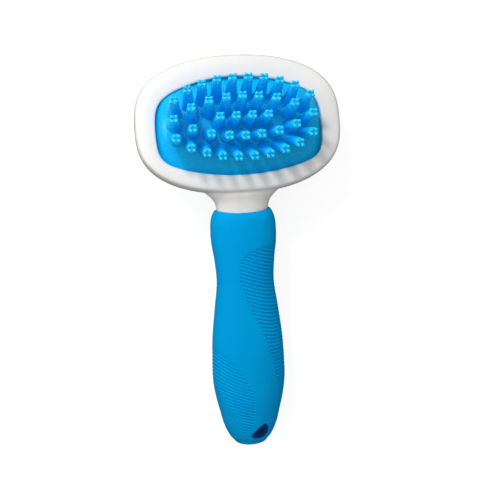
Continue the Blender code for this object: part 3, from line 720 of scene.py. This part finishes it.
# --- ribbed fields of the grip, as (distance from the collar, across) in mm --------------
LONG_FIELD_EDGE = ((16.7, 12.0), (16.9, 7.2), (17.5, 4.1), (18.5, 1.8), (19.8, 0.0), (21.0, -1.5),
                   (22.4, -2.6), (23.6, -3.3), (26.4, -3.45), (29.9, -3.5), (32.7, -3.1),
                   (36.7, -2.0), (43.8, 0.6), (50.0, 3.6), (54.0, 5.4), (62.3, 8.6), (68.0, 10.1),
                   (76.7, 11.7), (80.6, 13.0), (84.0, 18.0))
LONG_FIELD_ENDS = (16.6, 83.0)
LONG_FIELD_PITCH = 1.66
LONG_FIELD_GROOVE = 27.8            # distance of one groove's middle, on the centre line
LONG_FIELD_DEPTH = 0.42 * MM
BUTT_FIELD_OUTER = ((63.9, -14.9), (65.2, -12.1), (68.1, -8.8), (71.8, -5.5), (77.0, -2.6),
                    (82.0, 0.0), (85.9, 1.3), (90.9, 1.3), (96.5, 0.8), (101.0, -0.6),
                    (103.6, -3.7))
BUTT_FIELD_INNER = ((63.0, -40.0), (79.5, -40.0), (80.0, -15.5), (84.6, -12.7), (91.0, -9.2),
                    (97.3, -6.2), (101.0, -5.5), (103.6, -4.4))
BUTT_FIELD_ENDS = (63.9, 103.6)
BUTT_FIELD_PITCH = 1.45
BUTT_FIELD_DEPTH = 0.23 * MM
FIELD_SHOULDER = 0.35               # over which the grooves reach their depth at a side


def grooves(phase, pitch):
    """Depth share of round-shouldered grooves that take half of each pitch."""
    wave = 0.5 - 0.5 * np.cos(2.0 * np.pi * phase / pitch)
    return np.clip(1.8 * wave - 0.5, 0.0, 1.0)


def field_depth(s, x, width):
    """How deep the grip is grooved at distance s and x across, both in mm, as an array."""
    edge = np.interp(s, *zip(*LONG_FIELD_EDGE))
    inside = np.clip((x - edge) / FIELD_SHOULDER, 0.0, 1.0)
    inside *= np.clip((s - LONG_FIELD_ENDS[0]) / 0.3, 0.0, 1.0) * (s < LONG_FIELD_ENDS[1])
    phase = s - 0.36 * x + 0.156 * x**3 / width**2 * s / 50.0
    inside *= 1.0 - 0.85 * np.clip((x / width - 0.8) / 0.17, 0.0, 1.0)
    phase += 0.5 * LONG_FIELD_PITCH - LONG_FIELD_GROOVE
    depth = LONG_FIELD_DEPTH * inside * grooves(phase, LONG_FIELD_PITCH)
    right = np.interp(s, *zip(*BUTT_FIELD_OUTER))
    left = np.interp(s, *zip(*BUTT_FIELD_INNER))
    inside = np.clip((right - x) / FIELD_SHOULDER, 0.0, 1.0)
    inside *= np.clip((x - left) / FIELD_SHOULDER, 0.0, 1.0)
    inside *= (s > BUTT_FIELD_ENDS[0]) & (s < BUTT_FIELD_ENDS[1])
    steep = 0.26 + 0.24 * (np.clip(100.0 - s, 0.0, None) / 35.0)**1.5
    return depth + BUTT_FIELD_DEPTH * inside * grooves(s - steep * x, BUTT_FIELD_PITCH)


def hole_outline(count):
    """The hanging hole's D, its straight side along X and its round side towards -Y."""
    far = oval((HOLE_HALF_LENGTH, HOLE_ROUND_BULGE), (2.0, 2.0), count)
    near = oval((HOLE_HALF_LENGTH, HOLE_FLAT_BULGE), (2.6, 2.6), count)
    return np.vstack([near[near[:, 1] >= 0], far[far[:, 1] < -1e-9]])


def make_grip():
    """The soft sleeve with its socket, its ribbed fields and the hanging hole."""
    sides = 256
    places = np.concatenate([np.linspace(0.1, 16.0, 60)[:-1], np.linspace(16.0, 105.0, 580)[:-1],
                             np.linspace(105.0, 111.28, 30)]) * MM
    size = np.maximum(along(GRIP_STATIONS, places), 0.05 * MM)
    outer = sections(places, size[:, 0], size[:, 1], sides)
    points, ups, slope = axis(places)
    offset = outer - points[:, None, :]
    x = offset[..., 0]
    h = (offset * ups[:, None, :]).sum(-1)
    s = np.broadcast_to(places[:, None], x.shape)
    depth = field_depth(s / MM, x / MM, size[:, :1] / MM)
    out = np.stack([x / size[:, :1]**2, h / size[:, 1:]**2], -1)
    out /= np.linalg.norm(out, axis=-1, keepdims=True)
    outer[..., 0] -= depth * out[..., 0]
    outer -= (depth * out[..., 1])[..., None] * ups[:, None, :]
    forward = np.stack([0 * slope, -np.cos(slope), -np.sin(slope)], -1)
    sweep = np.interp(places / MM, *zip(*COLLAR_SWEEP)) * MM
    outer += (sweep[:, None] * (h / size[:, 1:])**2)[..., None] * forward[:, None, :]

    bore_places = np.concatenate([[95.3], np.linspace(95.0, 4.0, 40), [2.0, 0.0]]) * MM
    bore_size = core_size(bore_places) + GAP
    bore = sections(bore_places, bore_size[:, 0], bore_size[:, 1], sides)
    bore[-1] = outer[0] + 0.35 * (bore[-1] - outer[0])
    grip = rings_mesh("grip", np.concatenate([bore, outer]))

    hole = rings_mesh("hanging_hole", [at_height(hole_outline(64), z * MM) for z in (-20, 20)])
    tilt = math.atan2(HEAD_OUT.y, HEAD_OUT.z)
    centre = Vector(axis([HOLE_FROM_COLLAR])[0][0]) + Vector((HOLE_ASIDE, 0, 0))
    hole.data.transform(Matrix.Translation(centre) @ Matrix.Rotation(tilt, 4, "X")
                        @ Matrix.Rotation(HOLE_TURN, 4, "Z"))
    combine(grip, [hole], "DIFFERENCE")
    settle(grip, GRIP, "brush", "grip_rubber", "grip_sleeve")


def dress_inner_parts():
    """Better finishes on the CAD pieces that stay: plate, lid and screws."""
    for name, node in frame["nodes"].items():
        if name in ("pad_backing_plate", "core_cover"):
            node.data.materials.clear()
            node.data.materials.append(INNER)
        elif "screw" in name:
            node.data.materials.clear()
            node.data.materials.append(STEEL)


# --- studio ---------------------------------------------------------------------------
def area_light(name, towards, distance, size, power, aim):
    """A square soft light in a direction given in the head's frame, aimed at a point."""
    data = bpy.data.lights.new(name, "AREA")
    data.shape = "SQUARE"
    data.size = size
    data.energy = power
    light = bpy.data.objects.new(name, data)
    bpy.context.scene.collection.objects.link(light)
    way = (HEAD.to_3x3() @ Vector(towards)).normalized()
    light.location = aim + distance * way
    light.rotation_euler = way.to_track_quat("Z", "Y").to_euler()


def make_floor():
    """A pale floor under the brush, which neither lights it nor shows in its gloss."""
    mesh = bpy.data.meshes.new("floor")
    corners = [(FLOOR_HALF * x, FLOOR_HALF * y, 0) for x, y in ((-1, -1), (1, -1), (1, 1), (-1, 1))]
    mesh.from_pydata(corners, [], [(0, 1, 2, 3)])
    floor = bpy.data.objects.new("floor", mesh)
    bpy.context.scene.collection.objects.link(floor)
    under = HEAD @ Vector(axis([HOLE_FROM_COLLAR])[0][0])
    mesh.materials.append(floor_paper((under.x + HOLE_ASIDE, under.y, 0.0)))
    floor.location.z = CAD_BOX[0][2]
    floor.visible_diffuse = False
    floor.visible_glossy = False


def make_sky():
    """Soft light from all round, brightest on one side and dim below the brush."""
    world = bpy.data.worlds.new("studio")
    bpy.context.scene.world = world
    world.use_nodes = True
    tree = world.node_tree
    sky = tree.nodes["Background"]
    sky.inputs["Color"].default_value = (1.0, 1.0, 1.0, 1.0)
    way = tree.nodes.new("ShaderNodeTexCoord").outputs["Generated"]
    facing = tree.nodes.new("ShaderNodeVectorMath")
    facing.operation = "DOT_PRODUCT"
    facing.inputs[1].default_value = (HEAD.to_3x3() @ Vector(SKY_TOWARDS)).normalized()
    tree.links.new(way, facing.inputs[0])
    glow = tree.nodes.new("ShaderNodeMapRange")
    glow.inputs["From Min"].default_value = -0.2
    glow.inputs["To Min"].default_value = SKY_DARK
    glow.inputs["To Max"].default_value = SKY_BRIGHT
    tree.links.new(facing.outputs["Value"], glow.inputs["Value"])
    upright = tree.nodes.new("ShaderNodeSeparateXYZ")
    tree.links.new(way, upright.inputs[0])
    above = tree.nodes.new("ShaderNodeMapRange")
    above.inputs["From Min"].default_value = -0.1
    above.inputs["From Max"].default_value = 0.15
    above.inputs["To Min"].default_value = SKY_BELOW
    tree.links.new(upright.outputs["Z"], above.inputs["Value"])
    strength = tree.nodes.new("ShaderNodeMath")
    strength.operation = "MULTIPLY"
    tree.links.new(glow.outputs["Result"], strength.inputs[0])
    tree.links.new(above.outputs["Result"], strength.inputs[1])
    tree.links.new(strength.outputs[0], sky.inputs["Strength"])


def make_studio():
    make_floor()
    make_sky()
    aim = HEAD @ Vector((0.0, -0.02, 0.0))
    for name, towards, distance, size, power in LIGHTS:
        area_light(name, towards, distance, size, power, aim)
    bpy.context.scene.view_settings.view_transform = "Standard"


make_camera()
make_bezel()
make_cushion()
make_bristles()
make_body()
make_grip()
dress_inner_parts()
make_studio()
